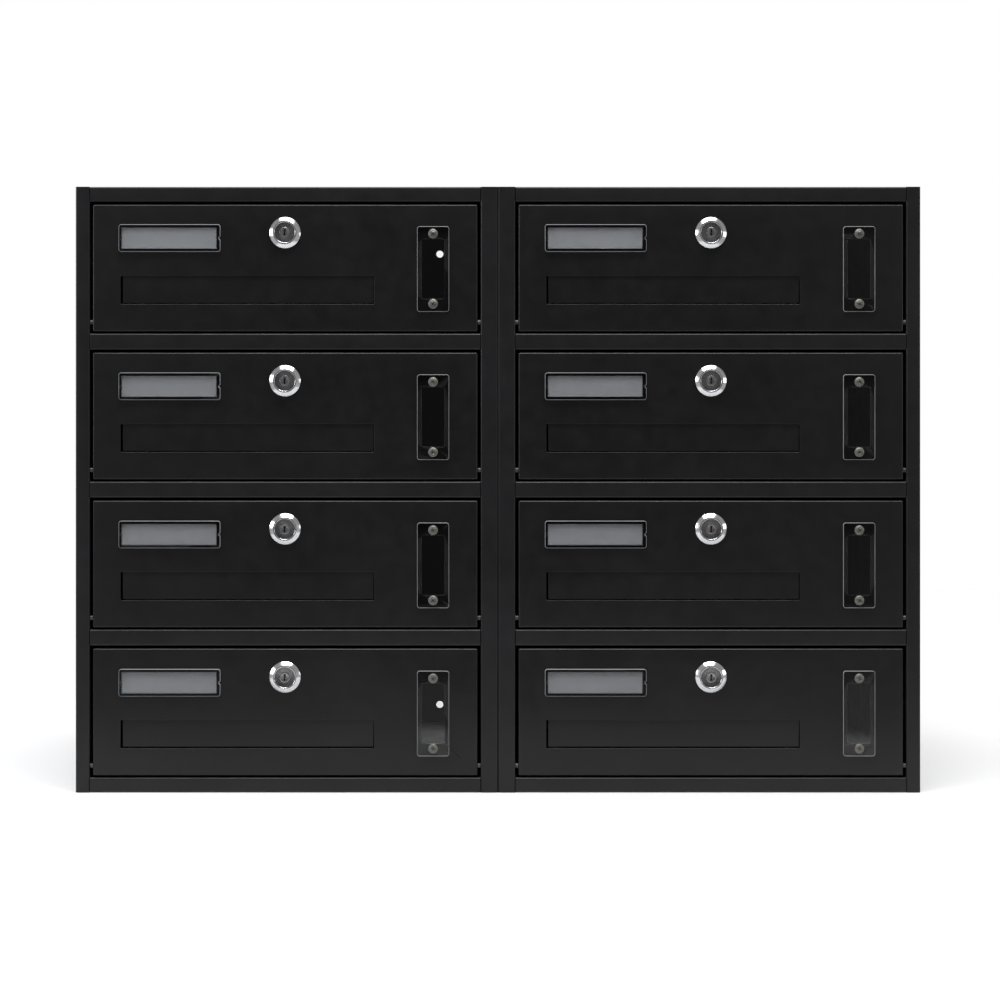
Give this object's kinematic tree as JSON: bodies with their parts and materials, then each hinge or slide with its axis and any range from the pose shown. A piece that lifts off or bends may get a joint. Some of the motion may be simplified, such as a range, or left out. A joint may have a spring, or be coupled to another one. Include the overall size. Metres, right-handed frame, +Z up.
{
  "type": "cluster mailbox unit",
  "caption": "Wall-hung cluster mailbox cabinet of folded black sheet metal with bottom-hinged doors, each with a mail flap, cam lock, name plate and clear window.",
  "frame": {"origin": "centre of the footprint, on the underside of the two columns", "axes": "+Z up; +Y into the wall, so the doors face -Y; +X to the right as seen from the front"},
  "size_m": [0.802, 0.354, 0.5749],
  "materials": {
    "cabinet_paint": "black powder coat, satin",
    "door_paint": "black powder coat, satin",
    "flap_paint": "black powder coat, satin",
    "lock_chrome": "polished",
    "lock_plug_metal": "satin nickel",
    "window_pane": "clear",
    "name_plate_cover": "clear cover over a pale card",
    "pin_steel": "zinc plated",
    "zinc_steel": "zinc plated"
  },
  "bodies": {
    "cabinets": {"left_cabinet": "cabinet_paint", "right_cabinet": "cabinet_paint", "left_top_panel": "cabinet_paint", "right_top_panel": "cabinet_paint", "left_bottom_panel": "cabinet_paint", "right_bottom_panel": "cabinet_paint", "left_shelves": "cabinet_paint", "right_shelves": "cabinet_paint", "left_hinge_pins": "pin_steel", "right_hinge_pins": "pin_steel", "column_bolts": "zinc_steel"},
    "left_door_1": {"left_door_panel_1": "door_paint", "left_lock_case_1": "lock_chrome", "left_window_1": "window_pane", "left_name_plate_1": "name_plate_cover"},
    "left_flap_1": {"left_mail_flap_1": "flap_paint"},
    "left_lock_1": {"left_lock_plug_1": "lock_plug_metal"},
    "left_door_2": {"left_door_panel_2": "door_paint", "left_lock_case_2": "lock_chrome", "left_window_2": "window_pane", "left_name_plate_2": "name_plate_cover"},
    "left_flap_2": {"left_mail_flap_2": "flap_paint"},
    "left_lock_2": {"left_lock_plug_2": "lock_plug_metal"},
    "left_door_3": {"left_door_panel_3": "door_paint", "left_lock_case_3": "lock_chrome", "left_window_3": "window_pane", "left_name_plate_3": "name_plate_cover"},
    "left_flap_3": {"left_mail_flap_3": "flap_paint"},
    "left_lock_3": {"left_lock_plug_3": "lock_plug_metal"},
    "left_door_4": {"left_door_panel_4": "door_paint", "left_lock_case_4": "lock_chrome", "left_window_4": "window_pane", "left_name_plate_4": "name_plate_cover"},
    "left_flap_4": {"left_mail_flap_4": "flap_paint"},
    "left_lock_4": {"left_lock_plug_4": "lock_plug_metal"},
    "right_door_1": {"right_door_panel_1": "door_paint", "right_lock_case_1": "lock_chrome", "right_window_1": "window_pane", "right_name_plate_1": "name_plate_cover"},
    "right_flap_1": {"right_mail_flap_1": "flap_paint"},
    "right_lock_1": {"right_lock_plug_1": "lock_plug_metal"},
    "right_door_2": {"right_door_panel_2": "door_paint", "right_lock_case_2": "lock_chrome", "right_window_2": "window_pane", "right_name_plate_2": "name_plate_cover"},
    "right_flap_2": {"right_mail_flap_2": "flap_paint"},
    "right_lock_2": {"right_lock_plug_2": "lock_plug_metal"},
    "right_door_3": {"right_door_panel_3": "door_paint", "right_lock_case_3": "lock_chrome", "right_window_3": "window_pane", "right_name_plate_3": "name_plate_cover"},
    "right_flap_3": {"right_mail_flap_3": "flap_paint"},
    "right_lock_3": {"right_lock_plug_3": "lock_plug_metal"},
    "right_door_4": {"right_door_panel_4": "door_paint", "right_lock_case_4": "lock_chrome", "right_window_4": "window_pane", "right_name_plate_4": "name_plate_cover"},
    "right_flap_4": {"right_mail_flap_4": "flap_paint"},
    "right_lock_4": {"right_lock_plug_4": "lock_plug_metal"}
  },
  "joints": [
    {"name": "left_door_hinge_1", "type": "hinge", "parent": "cabinets", "child": "left_door_1", "pos_m": [-0.202, -0.1688, 0.4464], "axis": [1, 0, 0], "range_deg": [0, 90]},
    {"name": "left_flap_hinge_1", "type": "hinge", "parent": "left_door_1", "child": "left_flap_1", "pos_m": [-0.2379, -0.1705, 0.4942], "axis": [1, 0, 0], "range_deg": [0, 80]},
    {"name": "left_lock_turn_1", "type": "hinge", "parent": "left_door_1", "child": "left_lock_1", "pos_m": [-0.202, -0.173, 0.5312], "axis": [0, 1, 0], "range_deg": [0, 90]},
    {"name": "left_door_hinge_2", "type": "hinge", "parent": "cabinets", "child": "left_door_2", "pos_m": [-0.202, -0.1688, 0.3059], "axis": [1, 0, 0], "range_deg": [0, 90]},
    {"name": "left_flap_hinge_2", "type": "hinge", "parent": "left_door_2", "child": "left_flap_2", "pos_m": [-0.2379, -0.1705, 0.3537], "axis": [1, 0, 0], "range_deg": [0, 80]},
    {"name": "left_lock_turn_2", "type": "hinge", "parent": "left_door_2", "child": "left_lock_2", "pos_m": [-0.202, -0.173, 0.3907], "axis": [0, 1, 0], "range_deg": [0, 90]},
    {"name": "left_door_hinge_3", "type": "hinge", "parent": "cabinets", "child": "left_door_3", "pos_m": [-0.202, -0.1688, 0.1654], "axis": [1, 0, 0], "range_deg": [0, 90]},
    {"name": "left_flap_hinge_3", "type": "hinge", "parent": "left_door_3", "child": "left_flap_3", "pos_m": [-0.2379, -0.1705, 0.2132], "axis": [1, 0, 0], "range_deg": [0, 80]},
    {"name": "left_lock_turn_3", "type": "hinge", "parent": "left_door_3", "child": "left_lock_3", "pos_m": [-0.202, -0.173, 0.2502], "axis": [0, 1, 0], "range_deg": [0, 90]},
    {"name": "left_door_hinge_4", "type": "hinge", "parent": "cabinets", "child": "left_door_4", "pos_m": [-0.202, -0.1688, 0.0249], "axis": [1, 0, 0], "range_deg": [0, 90]},
    {"name": "left_flap_hinge_4", "type": "hinge", "parent": "left_door_4", "child": "left_flap_4", "pos_m": [-0.2379, -0.1705, 0.0727], "axis": [1, 0, 0], "range_deg": [0, 80]},
    {"name": "left_lock_turn_4", "type": "hinge", "parent": "left_door_4", "child": "left_lock_4", "pos_m": [-0.202, -0.173, 0.1097], "axis": [0, 1, 0], "range_deg": [0, 90]},
    {"name": "right_door_hinge_1", "type": "hinge", "parent": "cabinets", "child": "right_door_1", "pos_m": [0.202, -0.1688, 0.4464], "axis": [1, 0, 0], "range_deg": [0, 90]},
    {"name": "right_flap_hinge_1", "type": "hinge", "parent": "right_door_1", "child": "right_flap_1", "pos_m": [0.1661, -0.1705, 0.4942], "axis": [1, 0, 0], "range_deg": [0, 80]},
    {"name": "right_lock_turn_1", "type": "hinge", "parent": "right_door_1", "child": "right_lock_1", "pos_m": [0.202, -0.173, 0.5312], "axis": [0, 1, 0], "range_deg": [0, 90]},
    {"name": "right_door_hinge_2", "type": "hinge", "parent": "cabinets", "child": "right_door_2", "pos_m": [0.202, -0.1688, 0.3059], "axis": [1, 0, 0], "range_deg": [0, 90]},
    {"name": "right_flap_hinge_2", "type": "hinge", "parent": "right_door_2", "child": "right_flap_2", "pos_m": [0.1661, -0.1705, 0.3537], "axis": [1, 0, 0], "range_deg": [0, 80]},
    {"name": "right_lock_turn_2", "type": "hinge", "parent": "right_door_2", "child": "right_lock_2", "pos_m": [0.202, -0.173, 0.3907], "axis": [0, 1, 0], "range_deg": [0, 90]},
    {"name": "right_door_hinge_3", "type": "hinge", "parent": "cabinets", "child": "right_door_3", "pos_m": [0.202, -0.1688, 0.1654], "axis": [1, 0, 0], "range_deg": [0, 90]},
    {"name": "right_flap_hinge_3", "type": "hinge", "parent": "right_door_3", "child": "right_flap_3", "pos_m": [0.1661, -0.1705, 0.2132], "axis": [1, 0, 0], "range_deg": [0, 80]},
    {"name": "right_lock_turn_3", "type": "hinge", "parent": "right_door_3", "child": "right_lock_3", "pos_m": [0.202, -0.173, 0.2502], "axis": [0, 1, 0], "range_deg": [0, 90]},
    {"name": "right_door_hinge_4", "type": "hinge", "parent": "cabinets", "child": "right_door_4", "pos_m": [0.202, -0.1688, 0.0249], "axis": [1, 0, 0], "range_deg": [0, 90]},
    {"name": "right_flap_hinge_4", "type": "hinge", "parent": "right_door_4", "child": "right_flap_4", "pos_m": [0.1661, -0.1705, 0.0727], "axis": [1, 0, 0], "range_deg": [0, 80]},
    {"name": "right_lock_turn_4", "type": "hinge", "parent": "right_door_4", "child": "right_lock_4", "pos_m": [0.202, -0.173, 0.1097], "axis": [0, 1, 0], "range_deg": [0, 90]}
  ]
}
